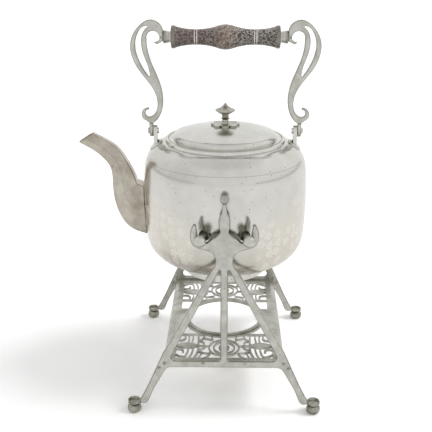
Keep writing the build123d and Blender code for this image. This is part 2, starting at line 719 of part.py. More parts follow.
# ---- frames: cast A-shaped ends with a spearhead, two hooked prongs and splayed legs ----
# Half outline as (outward, up) points, from the finial down to the foot and back inside.
toe_x = foot_x - foot_disc_r + foot_lip / 2
with BuildPart() as frame:
    with BuildSketch(frame_plane):
        with BuildLine():
            top = Line((0, finial_z - finial_r * 0.8), (1.9, finial_z - finial_r * 0.8))
            spear = Spline(top @ 1, (5.1, 185.3), (3.3, 174.0), (10.4, 165.0))
            basin = Spline(
                spear @ 1, (13.6, 162.2), (pin_x, pin_z - notch_r),
                tangents=[spear % 1, (1, 0)],
            )
            hook_inside = ThreePointArc(
                basin @ 1,
                (pin_x + notch_r * sin(pi / 4), pin_z - notch_r * cos(pi / 4)),
                (pin_x + notch_r, pin_z),
            )
            prong_in = Spline(
                hook_inside @ 1, (22.9, 171.2), (23.4, 176.2), tangents=[(0, 1), (-0.2, 1)]
            )
            prong_tip = ThreePointArc(prong_in @ 1, (25.0, 177.7), (26.3, 176.2))
            prong_out = Spline(
                prong_tip @ 1, (28.6, 169.6), (25.6, 158.8), (20.5, 156.2), (9.9, 152.0), (7.4, 146.5),
                (10.6, 137.5),
            )
            outer_leg = Spline(
                prong_out @ 1, (leg_x - 6.8, 59.3), (leg_x, 43.6), (leg_x + 6.8, 28.0),
                (foot_x - 5.1, disc_z + foot_disc_t / 2),
            )
            toe = Polyline(
                outer_leg @ 1, (toe_x, disc_z + foot_disc_t / 2), (toe_x, bun_h), (foot_x - 6.7, bun_h)
            )
            inner_leg = Spline(
                toe @ 1, (foot_x - 9.4, 8.4), (leg_x + 4.5, 18.3), (leg_x - 2.4, 32.0), (leg_x - 8.8, 43.0)
            )
            arch = Spline(
                inner_leg @ 1, (leg_x - 15.6, cross_low_z), tangents=[inner_leg % 1, (-1, 0)]
            )
            Polyline(arch @ 1, (0, cross_low_z), top @ 0)
        make_face()
        with BuildLine():
            Polyline(
                (bar_w / 2, cross_top_z), (window_x, cross_top_z),
                (bar_w / 2 + 0.6, window_top_z), (bar_w / 2, window_top_z), close=True,
            )
        make_face(mode=Mode.SUBTRACT)
        fillet(vertices().sort_by_distance((window_x, cross_top_z))[0], window_fillet)
        mirror(about=Plane.YZ)
    extrude(amount=frame_t / 2, both=True)
    with BuildSketch(Plane.XZ.offset(hub_y - 2 * frame_t)):
        with Locations((axis_x + pin_x, pin_z), (axis_x - pin_x, pin_z)):
            Circle(notch_r)
    extrude(amount=4 * frame_t, mode=Mode.SUBTRACT)
    add(finial.part, mode=Mode.SUBTRACT)
    add(feet.part, mode=Mode.SUBTRACT)
    add(stand_rivets.part, mode=Mode.SUBTRACT)
save(frame, "frame_front")
save_mirrored(frame, "frame_back", Plane.XZ)
with BuildPart() as frames:
    add(frame.part)
    mirror(about=Plane.XZ)

# ---- burner ring: the rolled edge that holds the burner, let into the middle plate ----
ring_r = burner_r + burner_ring_w
with BuildPart() as burner_ring:
    with BuildSketch(upright.offset(plate_top_z - plate_t)):
        Circle(ring_r)
        Circle(burner_r, mode=Mode.SUBTRACT)
    extrude(amount=burner_ring_h)
save(burner_ring, "burner_ring")

# ---- middle plate: holds the burner's ring between four pierced corners ----
plate_low = upright.offset(plate_top_z - plate_t)
with BuildPart() as platform_plate:
    with BuildSketch(plate_low):
        Rectangle(2 * plate_half_x, 2 * seam_y)
        Circle(ring_r, mode=Mode.SUBTRACT)
    extrude(amount=plate_t)
    with BuildSketch(plate_low):
        Rectangle(2 * field_x, 2 * (seam_y - seam_rim))
        Rectangle(2 * field_x, 2 * corner_in_y, mode=Mode.SUBTRACT)
        Circle(ring_r + ring_rim, mode=Mode.SUBTRACT)
    extrude(amount=plate_t, mode=Mode.SUBTRACT)
save(platform_plate, "platform_plate")

# ---- pierced panels: a ringed medallion between two leafy fans, and a flange at the crossbar ----
# Ribs of a panel's right half: width, then points as (outward, distance from the kettle's axis).
fret_ribs = (
    (1.9, (24.3, 35.5), (24.0, 43.0), (23.8, 54.0)),
    (1.5, (29.0, 35.5), (29.0, 42.0), (30.4, 54.0)),
    (1.5, (33.9, 35.5), (32.9, 41.0), (34.2, 54.0)),
    (1.7, (45.0, 45.6), (37.4, 45.0), (36.6, 39.9)),
    (1.9, (23.6, 57.0), (24.4, 69.0), (27.6, 79.0)),
    (1.5, (28.5, 57.0), (28.9, 67.5), (32.2, 79.0)),
    (1.5, (33.0, 57.0), (33.3, 68.0), (35.4, 76.0)),
    (1.5, (34.6, 75.7), (38.6, 75.0), (45.0, 69.0)),
    (1.7, (45.0, 65.2), (39.4, 62.6), (37.4, 67.6)),
    (1.2, (20.5, 67.0), (21.2, 72.5), (24.0, 79.0)),
    (1.4, (12.6, 69.0), (15.0, 75.0), (20.0, 79.0)),
    (1.2, (13.0, 69.6), (18.0, 69.2), (23.6, 66.0)),
    (1.3, (12.4, 36.0), (11.6, 41.0), (10.6, 46.0)),
    (1.3, (10.4, 46.0), (14.5, 44.2), (19.4, 42.8)),
    (1.4, (18.7, 35.5), (19.4, 42.6), (24.0, 48.0)),
    (1.5, (14.0, 57.4), (19.0, 56.6), (26.0, 56.4)),
    (1.4, (19.6, 57.0), (18.6, 52.0), (23.6, 47.6)),
    (1.6, (17.4, 57.0), (19.2, 61.4), (24.0, 63.6)),
)
leaf = ((22.6, 56.5), (31.5, 51.4), (45.0, 56.0), (32.0, 60.4))
panel_end_y = hub_y + (pin_z - plate_top_z) * slope
panel_l = panel_end_y - seam_y - seam_gap
flange_h = cross_top_z - plate_top_z - flange_drop


def rib_points(ends):
    """Sketch points of a rib on the front panel."""
    return [(out, -away) for out, away in ends]


with BuildPart() as panel:
    with BuildSketch(plate_low):
        for rib_w, *ends in fret_ribs:
            with BuildLine(mode=Mode.PRIVATE) as rib_line:
                ThreePointArc(*rib_points(ends))
            trace(rib_line.line, rib_w)
        with BuildLine():
            inner, inside, outer, outside = rib_points(leaf)
            ThreePointArc(inner, inside, outer)
            ThreePointArc(outer, outside, inner)
        make_face()
        mirror(about=Plane.YZ)
        with Locations((0, -medallion_y)):
            Circle(medallion_r)
            Circle(medallion_r - medallion_w, mode=Mode.SUBTRACT)
            Circle(inner_ring_r)
            Circle(inner_ring_r - inner_ring_w, mode=Mode.SUBTRACT)
            Circle(boss_r)
            Rectangle(bridge_w, 2 * medallion_r - medallion_w)
        Circle(ring_r + ring_rim)
        with Locations((0, -(seam_y + seam_gap + panel_l / 2))):
            Rectangle(2 * plate_half_x, panel_l, mode=Mode.INTERSECT)
        Circle(ring_r, mode=Mode.SUBTRACT)
    extrude(amount=plate_t)
    with BuildSketch(plate_low):
        with Locations((0, -(seam_y + seam_gap + panel_l / 2))):
            Rectangle(2 * plate_half_x, panel_l)
        with Locations((0, -(field_in_y + field_out_y) / 2)):
            Rectangle(2 * field_x, field_out_y - field_in_y, mode=Mode.SUBTRACT)
        Circle(ring_r, mode=Mode.SUBTRACT)
    extrude(amount=plate_t)
    with BuildSketch(frame_plane.offset(-frame_t / 2 - sheet_t)):
        with Locations((0, plate_top_z + flange_h / 2)):
            Rectangle(2 * (plate_half_x - flange_short), flange_h)
    extrude(amount=sheet_t)
    add(frame.part, mode=Mode.SUBTRACT)
    add(stand_rivets.part, mode=Mode.SUBTRACT)
save(panel, "pierced_panel_front")
save_mirrored(panel, "pierced_panel_back", Plane.XZ)

# ---- side skirts: bent strips beside the platform, with an ear riveted behind each leg ----
skirt_z = plate_top_z - skirt_h
with BuildPart() as skirt:
    with BuildSketch(front):
        with BuildLine():
            ThreePointArc(
                (plate_half_x, plate_top_z),
                (skirt_x - skirt_w * 0.3, plate_top_z - skirt_h * 0.3),
                (skirt_x, skirt_z),
            )
            Line((skirt_x, skirt_z), (skirt_x - sheet_t, skirt_z))
            ThreePointArc(
                (skirt_x - sheet_t, skirt_z),
                (skirt_x - skirt_w * 0.3 - sheet_t * 0.8, plate_top_z - skirt_h * 0.3 - sheet_t * 0.8),
                (plate_half_x, plate_top_z - sheet_t),
            )
            Line((plate_half_x, plate_top_z - sheet_t), (plate_half_x, plate_top_z))
        make_face()
    extrude(amount=hub_y + (pin_z - skirt_z) * slope, both=True)
    with BuildSketch(frame_plane.offset(-frame_t / 2 - sheet_t)):
        with BuildLine():
            Polyline(
                (plate_half_x, plate_top_z - sheet_t), (plate_half_x, plate_top_z + 2.6),
                (leg_x - 5.2, plate_top_z + 2.6), (leg_x - 0.4, 43.2), (leg_x + 3.4, 34.6),
                (leg_x + 0.4, 34.0), (leg_x - 3.6, skirt_z), (skirt_x - sheet_t, skirt_z), close=True,
            )
        make_face()
    extrude(amount=sheet_t)
    mirror(about=Plane.XZ)
    add(frames.part, mode=Mode.SUBTRACT)
    add(stand_rivets.part, mode=Mode.SUBTRACT)
save(skirt, "side_skirt_right")
save_mirrored(skirt, "side_skirt_left", middle)
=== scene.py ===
import bmesh
import bpy
import math
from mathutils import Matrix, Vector


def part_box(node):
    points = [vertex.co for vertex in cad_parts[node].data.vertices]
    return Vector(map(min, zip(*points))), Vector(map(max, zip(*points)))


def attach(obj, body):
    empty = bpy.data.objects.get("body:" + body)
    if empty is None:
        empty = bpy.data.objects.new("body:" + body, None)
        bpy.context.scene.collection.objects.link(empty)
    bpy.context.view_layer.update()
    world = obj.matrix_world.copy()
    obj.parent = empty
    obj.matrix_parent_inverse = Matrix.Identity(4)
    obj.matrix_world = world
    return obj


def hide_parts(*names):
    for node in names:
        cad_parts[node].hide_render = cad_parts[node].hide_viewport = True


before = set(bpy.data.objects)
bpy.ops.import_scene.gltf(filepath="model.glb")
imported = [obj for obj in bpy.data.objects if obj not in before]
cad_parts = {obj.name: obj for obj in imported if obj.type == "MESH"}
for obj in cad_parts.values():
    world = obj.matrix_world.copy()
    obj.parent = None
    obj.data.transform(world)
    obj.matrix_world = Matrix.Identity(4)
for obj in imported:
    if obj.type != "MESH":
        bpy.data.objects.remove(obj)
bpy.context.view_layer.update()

# ---- camera ----
# A 60 mm lens stands 638 mm in front of the kettle's axis and 390 mm above the table. It looks
# 20 degrees down and a little to the left, so the lid's top and the pierced platform both show.
body_low, body_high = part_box("kettle_body")
axis_x = (body_low.x + body_high.x) / 2
camera_distance = 0.638
camera_height = 0.390
camera_pitch = math.radians(20.26)
camera_right = 0.0020
camera_turn = math.radians(0.93)
lens_mm = 60.0
sensor_mm = 36.0

lens = bpy.data.cameras.new("camera")
lens.lens = lens_mm
lens.sensor_width = sensor_mm
camera = bpy.data.objects.new("camera", lens)
camera.location = (axis_x + camera_right, -camera_distance, camera_height)
camera.rotation_euler = (math.pi / 2 - camera_pitch, 0, camera_turn)
bpy.context.scene.collection.objects.link(camera)
bpy.context.scene.camera = camera
bpy.context.scene.view_settings.view_transform = "Standard"

# ---- table ----
# A wide matt white table. To the camera and in reflections it is white where the light falls,
# and it keeps the object's shadow; to everything else it is a plain pale grey.
table_half = 6.0
table_grey = "#c8c8c6"
table_white = 1.345  # with the key light, this comes out as white
table_mirrored = 1.12  # and this as nearly white in the metal


def tone(code):
    """Linear colour of an sRGB hex value."""
    shares = [int(code[i:i + 2], 16) / 255 for i in (1, 3, 5)]
    return [s / 12.92 if s <= 0.04045 else ((s + 0.055) / 1.055) ** 2.4 for s in shares] + [1.0]


def put(tree, kind, inputs=None, **settings):
    """Adds a node with its settings and joins its inputs to sockets or plain values."""
    made = tree.nodes.new(kind)
    for name, value in settings.items():
        setattr(made, name, value)
    for socket, value in (inputs or {}).items():
        if isinstance(value, bpy.types.NodeSocket):
            tree.links.new(value, made.inputs[socket])
        else:
            made.inputs[socket].default_value = value
    return made


table_mesh = bpy.data.meshes.new("table")
sheet_shape = bmesh.new()
bmesh.ops.create_grid(sheet_shape, x_segments=1, y_segments=1, size=table_half)
sheet_shape.to_mesh(table_mesh)
sheet_shape.free()
table = bpy.data.objects.new("table", table_mesh)
bpy.context.scene.collection.objects.link(table)
table_paint = bpy.data.materials.new("matt white table")
table_paint.use_nodes = True
tree = table_paint.node_tree
tree.nodes.clear()
rays = put(tree, "ShaderNodeLightPath")
seen = put(tree, "ShaderNodeMath", {
    0: rays.outputs["Is Camera Ray"], 1: rays.outputs["Is Transmission Ray"],
}, operation="MAXIMUM")
mirrored = put(tree, "ShaderNodeMix", {
    0: rays.outputs["Is Glossy Ray"], 6: tone(table_grey), 7: (table_mirrored,) * 3 + (1.0,),
}, data_type="RGBA")
coat = put(tree, "ShaderNodeMix", {
    0: seen.outputs[0], 6: mirrored.outputs[2], 7: (table_white,) * 3 + (1.0,),
}, data_type="RGBA")
matt = put(tree, "ShaderNodeBsdfDiffuse", {"Color": coat.outputs[2]})
put(tree, "ShaderNodeOutputMaterial", {"Surface": matt.outputs[0]})
table_mesh.materials.append(table_paint)

# ---- white room and key light ----
# A white studio: the metal mirrors a bright back and sides and a somewhat darker front, where the
# camera stands. One very broad soft light comes from the right and throws the shadow to the left.
front_level = 0.93  # how bright each side of the room is in the metal, with the back at 1
front_y, back_y = -0.75, 0.5  # directions between which it changes
left_level = 0.9
left_x, right_x = -0.95, -0.1
overhead_level = 0.8
walls_z, overhead_z = 0.80, 0.98
skyline_z = 0.05  # a faint darker band, where the table's edge meets the walls at both sides
skyline_half, skyline_gone = 0.02, 0.06  # half its height, and where it has faded out
skyline_dark = 0.4
skyline_from_x, skyline_full_x = 0.55, 0.8
soft_light = 0.62  # what the walls give to matt surfaces
key_power = 1.15
key_spread = math.radians(24)
key_way = Vector((-0.66, -0.04, -0.75))

room = bpy.data.worlds.new("white room")
room.use_nodes = True
bpy.context.scene.world = room
tree = room.node_tree
tree.nodes.clear()
rays = put(tree, "ShaderNodeLightPath")
seen = put(tree, "ShaderNodeMath", {
    0: rays.outputs["Is Camera Ray"], 1: rays.outputs["Is Transmission Ray"],
}, operation="MAXIMUM")
look = put(tree, "ShaderNodeTexCoord")
ways = put(tree, "ShaderNodeSeparateXYZ", {0: look.outputs["Generated"]})
depth = put(tree, "ShaderNodeMapRange", {
    "Value": ways.outputs["Y"], "From Min": front_y, "From Max": back_y,
    "To Min": front_level, "To Max": 1.0,
}, interpolation_type="SMOOTHSTEP")
left = put(tree, "ShaderNodeMapRange", {
    "Value": ways.outputs["X"], "From Min": left_x, "From Max": right_x,
    "To Min": left_level, "To Max": 1.0,
}, interpolation_type="SMOOTHSTEP")
overhead = put(tree, "ShaderNodeMapRange", {
    "Value": ways.outputs["Z"], "From Min": walls_z, "From Max": overhead_z,
    "To Min": 1.0, "To Max": overhead_level,
}, interpolation_type="SMOOTHSTEP")
sideways = put(tree, "ShaderNodeMath", {0: ways.outputs["X"]}, operation="ABSOLUTE")
at_sides = put(tree, "ShaderNodeMapRange", {
    "Value": sideways.outputs[0], "From Min": skyline_from_x, "From Max": skyline_full_x,
    "To Min": 0.0, "To Max": skyline_dark,
}, interpolation_type="SMOOTHSTEP")
over_line = put(tree, "ShaderNodeMath", {
    0: ways.outputs["Z"], 1: skyline_z,
}, operation="SUBTRACT")
off_line = put(tree, "ShaderNodeMath", {0: over_line.outputs[0]}, operation="ABSOLUTE")
on_line = put(tree, "ShaderNodeMapRange", {
    "Value": off_line.outputs[0], "From Min": skyline_half, "From Max": skyline_gone,
    "To Min": 1.0, "To Max": 0.0,
}, interpolation_type="SMOOTHSTEP")
band = put(tree, "ShaderNodeMath", {
    0: on_line.outputs[0], 1: at_sides.outputs[0],
}, operation="MULTIPLY")
skyline = put(tree, "ShaderNodeMath", {0: 1.0, 1: band.outputs[0]}, operation="SUBTRACT")
walls = put(tree, "ShaderNodeMath", {0: depth.outputs[0], 1: left.outputs[0]}, operation="MULTIPLY")
domed = put(tree, "ShaderNodeMath", {
    0: walls.outputs[0], 1: overhead.outputs[0],
}, operation="MULTIPLY")
mirrored = put(tree, "ShaderNodeMath", {
    0: domed.outputs[0], 1: skyline.outputs[0],
}, operation="MULTIPLY")
given = put(tree, "ShaderNodeMix", {
    0: rays.outputs["Is Glossy Ray"], 2: soft_light, 3: mirrored.outputs[0],
}, data_type="FLOAT")
level = put(tree, "ShaderNodeMix", {
    0: seen.outputs[0], 2: given.outputs[0], 3: 1.0,
}, data_type="FLOAT")
wall = put(tree, "ShaderNodeBackground", {"Color": tone("#ffffff"), "Strength": level.outputs[0]})
put(tree, "ShaderNodeOutputWorld", {"Surface": wall.outputs[0]})

sun = bpy.data.lights.new("key light", "SUN")
sun.energy = key_power
sun.angle = key_spread
key_light = bpy.data.objects.new("key light", sun)
key_light.rotation_euler = key_way.to_track_quat("-Z", "Y").to_euler()
key_light.visible_glossy = False
bpy.context.scene.collection.objects.link(key_light)


# ---- kettle: foot ring, rim, hinge, lid, knob and lugs ----
# Spun and raised sheet, silver plated and rubbed for a century: pale, slightly warm, soft in its
# reflections and cloudy where it has been cleaned. The knob is handled more than it is polished,
# so its plate has dulled to grey.
pit_gap_mm = 5.5
pit_mm = 0.7
pit_strength = 0.7
pit_tone = "#857b69"
silver_look = {"pale": "#d5d4ce", "dull": "#c9c8c1", "roughness": (0.16, 0.25), "cloud_mm": 26.0,
               "grain_mm": 1.2, "grain_depth_mm": 0.006}


def plated(name, pale, dull, roughness, cloud_mm, grain_mm, grain_depth_mm):
    """Worn plated metal: pale and dull clouds with a roughness each, a fine grain, a few pits."""
    paint = bpy.data.materials.new(name)
    paint.use_nodes = True
    tree = paint.node_tree
    tree.nodes.clear()
    place = put(tree, "ShaderNodeTexCoord")
    clouds = put(tree, "ShaderNodeTexNoise", {
        "Vector": place.outputs["Object"], "Scale": 1000 / cloud_mm,
        "Detail": 6.0, "Roughness": 0.65,
    })
    patch = put(tree, "ShaderNodeMapRange", {
        "Value": clouds.outputs["Fac"], "From Min": 0.36, "From Max": 0.64,
    })
    grain = put(tree, "ShaderNodeTexNoise", {
        "Vector": place.outputs["Object"], "Scale": 1000 / grain_mm,
        "Detail": 3.0, "Roughness": 0.6,
    })
    cells = put(tree, "ShaderNodeTexVoronoi", {
        "Vector": place.outputs["Object"], "Scale": 1000 / pit_gap_mm,
    })
    pits = put(tree, "ShaderNodeMapRange", {
        "Value": cells.outputs["Distance"], "From Min": 0.5 * pit_mm / pit_gap_mm,
        "From Max": pit_mm / pit_gap_mm, "To Min": pit_strength, "To Max": 0.0,
    })
    clouded = put(tree, "ShaderNodeMix", {
        0: patch.outputs[0], 6: tone(dull), 7: tone(pale),
    }, data_type="RGBA")
    pitted = put(tree, "ShaderNodeMix", {
        0: pits.outputs[0], 6: clouded.outputs[2], 7: tone(pit_tone),
    }, data_type="RGBA")
    rough = put(tree, "ShaderNodeMapRange", {
        "Value": patch.outputs[0], "To Min": roughness[1], "To Max": roughness[0],
    })
    bump = put(tree, "ShaderNodeBump", {
        "Height": grain.outputs["Fac"], "Strength": 1.0, "Distance": grain_depth_mm / 1000,
    })
    surface = put(tree, "ShaderNodeBsdfPrincipled", {
        "Base Color": pitted.outputs[2], "Metallic": 1.0, "Roughness": rough.outputs[0],
        "Normal": bump.outputs[0],
    })
    put(tree, "ShaderNodeOutputMaterial", {"Surface": surface.outputs[0]})
    return paint


def dress(node_name, paint):
    """Gives a CAD node its finish."""
    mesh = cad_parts[node_name].data
    mesh.materials.clear()
    mesh.materials.append(paint)


silver = plated("worn silver plate", **silver_look)
for node_name in ("foot_ring", "neck_rim", "hinge_ears", "lid_shell", "lid_bezel", "lid_knuckle",
                  "handle_lug_left", "handle_lug_right", "handle_rivet_left", "handle_rivet_right"):
    dress(node_name, silver)
knob_plate = plated("tarnished turned knob", "#bcbab0", "#8f8c80", roughness=(0.2, 0.34),
                    cloud_mm=7.0, grain_mm=0.8, grain_depth_mm=0.01)
for node_name in ("knob_rosette", "knob_stem", "knob_cap"):
    dress(node_name, knob_plate)

# ---- engraved body ----
# The same plate on the body, with small five-petalled blossoms bright-cut in clusters on each side
# of the two stand frames. The cutting is fine and frosted, so it shows paler and duller, on a bed
# that is a little warmer. Low down the plate is painted darker and browner: a painted reflection of
# the shaded table and stand beneath.
body_r = 0.075
blossom_pitch = 0.0100  # one blossom to each 10 mm or so
blossom_scatter = 0.55
blossom_r = 0.0031
petal_low, petal_high = 0.78, 1.1  # outline between and on the petals, as shares of the radius
petal_count = 5.0
line_w = 0.0006
frost_strength = 0.35  # inside a blossom's outline
blossoms_left_out = 0.22
bed_from, bed_full = 0.022, 0.036  # distance from the frames' middle where the bed begins
bed_top_z = 0.158  # its upper edge at the middle,
bed_rise = 0.55  # how steeply that edge climbs outwards
bed_fade = 0.012  # and how softly it ends
bed_warmth = 0.55
# Painted reflection: low down the body is painted darker and browner, for the shaded table and
# stand beneath.
low_reflection_full_z, low_reflection_gone_z = 0.112, 0.165  # the painted reflection is full at the first height and gone at the second
low_reflection_strength = 0.8
turned_line_z = 0.2145  # a faint line that the spinning left on the shoulder
turned_line_w, turned_line_fade = 0.0002, 0.0006
turned_line_strength = 0.3
cut_roughness = 0.5
low_reflection_tone, bed_tone, turned_line_tone, cut_tone = "#b3aa9b", "#dbd5ca", "#85837a", "#e6e3dc"


def surface_of(paint):
    """The shader that a finish ends in."""
    return next(node for node in paint.node_tree.nodes if node.type == "BSDF_PRINCIPLED")


engraved = plated("engraved silver plate", **silver_look)
tree = engraved.node_tree
surface = surface_of(engraved)
plate_tone = surface.inputs["Base Color"].links[0].from_socket
plate_rough = surface.inputs["Roughness"].links[0].from_socket
place = put(tree, "ShaderNodeTexCoord")
local = put(tree, "ShaderNodeVectorMath", {
    0: place.outputs["Object"], 1: (axis_x, 0, 0),
}, operation="SUBTRACT")
xyz = put(tree, "ShaderNodeSeparateXYZ", {0: local.outputs[0]})

# The flank unrolled, with one blossom in each cell.
angle = put(tree, "ShaderNodeMath", {
    0: xyz.outputs["Y"], 1: xyz.outputs["X"],
}, operation="ARCTAN2")
around = put(tree, "ShaderNodeMath", {0: angle.outputs[0], 1: body_r}, operation="MULTIPLY")
unrolled = put(tree, "ShaderNodeCombineXYZ", {"X": around.outputs[0], "Y": xyz.outputs["Z"]})
cells = put(tree, "ShaderNodeTexVoronoi", {
    "Vector": unrolled.outputs[0], "Scale": 1 / blossom_pitch, "Randomness": blossom_scatter,
}, voronoi_dimensions="2D")
from_middle = put(tree, "ShaderNodeVectorMath", {
    0: unrolled.outputs[0], 1: cells.outputs["Position"],
}, operation="SUBTRACT")
spread = put(tree, "ShaderNodeVectorMath", {0: from_middle.outputs[0]}, operation="LENGTH")

# Five petals: the outline swings in and out once for each.
petal_xy = put(tree, "ShaderNodeSeparateXYZ", {0: from_middle.outputs[0]})
turn = put(tree, "ShaderNodeMath", {
    0: petal_xy.outputs["Y"], 1: petal_xy.outputs["X"],
}, operation="ARCTAN2")
swing = put(tree, "ShaderNodeMath", {0: turn.outputs[0], 1: petal_count}, operation="MULTIPLY")
wave = put(tree, "ShaderNodeMath", {0: swing.outputs[0]}, operation="COSINE")
edge = put(tree, "ShaderNodeMapRange", {
    "Value": wave.outputs[0], "From Min": -1.0, "From Max": 1.0,
    "To Min": blossom_r * petal_low, "To Max": blossom_r * petal_high,
})
past_edge = put(tree, "ShaderNodeMath", {
    0: spread.outputs["Value"], 1: edge.outputs[0],
}, operation="SUBTRACT")
off_edge = put(tree, "ShaderNodeMath", {0: past_edge.outputs[0]}, operation="ABSOLUTE")
outline = put(tree, "ShaderNodeMapRange", {
    "Value": off_edge.outputs[0], "From Min": line_w * 0.4, "From Max": line_w * 1.4,
    "To Min": 1.0, "To Max": 0.0,
})
eye = put(tree, "ShaderNodeMapRange", {
    "Value": spread.outputs["Value"], "From Min": line_w, "From Max": line_w * 2,
    "To Min": 1.0, "To Max": 0.0,
})
lines = put(tree, "ShaderNodeMath", {0: outline.outputs[0], 1: eye.outputs[0]}, operation="MAXIMUM")
inside = put(tree, "ShaderNodeMath", {
    0: edge.outputs[0], 1: spread.outputs["Value"],
}, operation="GREATER_THAN")
frost = put(tree, "ShaderNodeMath", {0: inside.outputs[0], 1: frost_strength}, operation="MULTIPLY")
cut = put(tree, "ShaderNodeMath", {0: lines.outputs[0], 1: frost.outputs[0]}, operation="MAXIMUM")
draw = put(tree, "ShaderNodeSeparateXYZ", {0: cells.outputs["Color"]})
chosen = put(tree, "ShaderNodeMath", {
    0: draw.outputs["X"], 1: blossoms_left_out,
}, operation="GREATER_THAN")

# The bed: beside the frames, under an edge that climbs outwards.
out_x = put(tree, "ShaderNodeMath", {0: xyz.outputs["X"]}, operation="ABSOLUTE")
beside = put(tree, "ShaderNodeMapRange", {
    "Value": out_x.outputs[0], "From Min": bed_from, "From Max": bed_full,
}, interpolation_type="SMOOTHSTEP")
climb = put(tree, "ShaderNodeMath", {0: out_x.outputs[0], 1: bed_rise}, operation="MULTIPLY")
bed_edge = put(tree, "ShaderNodeMath", {0: climb.outputs[0], 1: bed_top_z}, operation="ADD")
above = put(tree, "ShaderNodeMath", {
    0: xyz.outputs["Z"], 1: bed_edge.outputs[0],
}, operation="SUBTRACT")
below = put(tree, "ShaderNodeMapRange", {
    "Value": above.outputs[0], "From Min": -bed_fade, "From Max": 0.0,
    "To Min": 1.0, "To Max": 0.0,
}, interpolation_type="SMOOTHSTEP")
bed = put(tree, "ShaderNodeMath", {0: beside.outputs[0], 1: below.outputs[0]}, operation="MULTIPLY")
cut_in_bed = put(tree, "ShaderNodeMath", {
    0: cut.outputs[0], 1: bed.outputs[0],
}, operation="MULTIPLY")
mask = put(tree, "ShaderNodeMath", {
    0: cut_in_bed.outputs[0], 1: chosen.outputs[0],
}, operation="MULTIPLY")

# Colours, from the plate up: painted reflection low down, warmer in the bed, a turned line, the
# cutting.
# Painted reflection of the shaded table beneath: darker and browner towards the bottom.
low_reflection_mask = put(tree, "ShaderNodeMapRange", {
    "Value": xyz.outputs["Z"], "From Min": low_reflection_full_z, "From Max": low_reflection_gone_z,
    "To Min": low_reflection_strength, "To Max": 0.0,
}, interpolation_type="SMOOTHSTEP")
low_reflection_painted = put(tree, "ShaderNodeMix", {
    0: low_reflection_mask.outputs[0], 6: plate_tone, 7: tone(low_reflection_tone),
}, data_type="RGBA")
warmth = put(tree, "ShaderNodeMath", {0: bed.outputs[0], 1: bed_warmth}, operation="MULTIPLY")
warmed = put(tree, "ShaderNodeMix", {
    0: warmth.outputs[0], 6: low_reflection_painted.outputs[2], 7: tone(bed_tone),
}, data_type="RGBA")
over_turned = put(tree, "ShaderNodeMath", {
    0: xyz.outputs["Z"], 1: turned_line_z,
}, operation="SUBTRACT")
off_turned = put(tree, "ShaderNodeMath", {0: over_turned.outputs[0]}, operation="ABSOLUTE")
turned = put(tree, "ShaderNodeMapRange", {
    "Value": off_turned.outputs[0], "From Min": turned_line_w, "From Max": turned_line_fade,
    "To Min": turned_line_strength, "To Max": 0.0,
})
lined = put(tree, "ShaderNodeMix", {
    0: turned.outputs[0], 6: warmed.outputs[2], 7: tone(turned_line_tone),
}, data_type="RGBA")
frosted = put(tree, "ShaderNodeMix", {
    0: mask.outputs[0], 6: lined.outputs[2], 7: tone(cut_tone),
}, data_type="RGBA")
dulled = put(tree, "ShaderNodeMix", {
    0: mask.outputs[0], 2: plate_rough, 3: cut_roughness,
}, data_type="FLOAT")
tree.links.new(frosted.outputs[2], surface.inputs["Base Color"])
tree.links.new(dulled.outputs[0], surface.inputs["Roughness"])
for node_name in ("kettle_bottom", "kettle_body", "kettle_shoulder"):
    dress(node_name, engraved)

# ---- trunnion pins ----
# Turned studs that stand out of the flank. The round end is rubbed pale; the stem and collar
# behind the frame are painted a dark greenish brown: painted shade, between the frame and the
# flank.
pin_end_from = 0.0885  # from the kettle's axis to where a pin's round end begins
pin_end_fade = 0.001
# Painted shade on the stem and collar behind the frame.
stem_shade_tone = "#6a6857"
stem_shade_strength = 0.9

pin_plate = plated("tarnished turned studs with rubbed ends", "#d3d1ca", "#bcb9af",
                   roughness=(0.2, 0.34), cloud_mm=5.0, grain_mm=0.8, grain_depth_mm=0.01)
tree = pin_plate.node_tree
surface = surface_of(pin_plate)
end_tone = surface.inputs["Base Color"].links[0].from_socket
place = put(tree, "ShaderNodeTexCoord")
local = put(tree, "ShaderNodeVectorMath", {
    0: place.outputs["Object"], 1: (axis_x, 0, 0),
}, operation="SUBTRACT")
plan = put(tree, "ShaderNodeVectorMath", {0: local.outputs[0], 1: (1, 1, 0)}, operation="MULTIPLY")
reach = put(tree, "ShaderNodeVectorMath", {0: plan.outputs[0]}, operation="LENGTH")
# Painted shade: the stem and collar inside the end's reach are darkened.
behind_frame_shade = put(tree, "ShaderNodeMapRange", {
    "Value": reach.outputs["Value"], "From Min": pin_end_from - pin_end_fade,
    "From Max": pin_end_from + pin_end_fade, "To Min": stem_shade_strength, "To Max": 0.0,
})
stem_shaded = put(tree, "ShaderNodeMix", {
    0: behind_frame_shade.outputs[0], 6: end_tone, 7: tone(stem_shade_tone),
}, data_type="RGBA")
tree.links.new(stem_shaded.outputs[2], surface.inputs["Base Color"])
for node_name in ("trunnion_front_left", "trunnion_front_right", "trunnion_back_left",
                  "trunnion_back_right"):
    dress(node_name, pin_plate)

# ---- handle uprights and grip collars ----
# Nickel silver castings, filed and then worn. Each upright keeps its own outline: a skin drawn over
# it and eased rounds its arrises, along which a darker tone is painted: painted dark reflection.
upright_skin_mm, upright_easing = 0.36, 9
arris_from, arris_full = 0.508, 0.545  # pointiness of the surface; a flat face has 0.5
# How strongly the painted dark reflection darkens the arrises.
arris_reflection_strength = 0.8

cast = plated("dull nickel silver casting", "#c6c5be", "#b2b1a8", roughness=(0.26, 0.42),
              cloud_mm=9.0, grain_mm=1.6, grain_depth_mm=0.03)


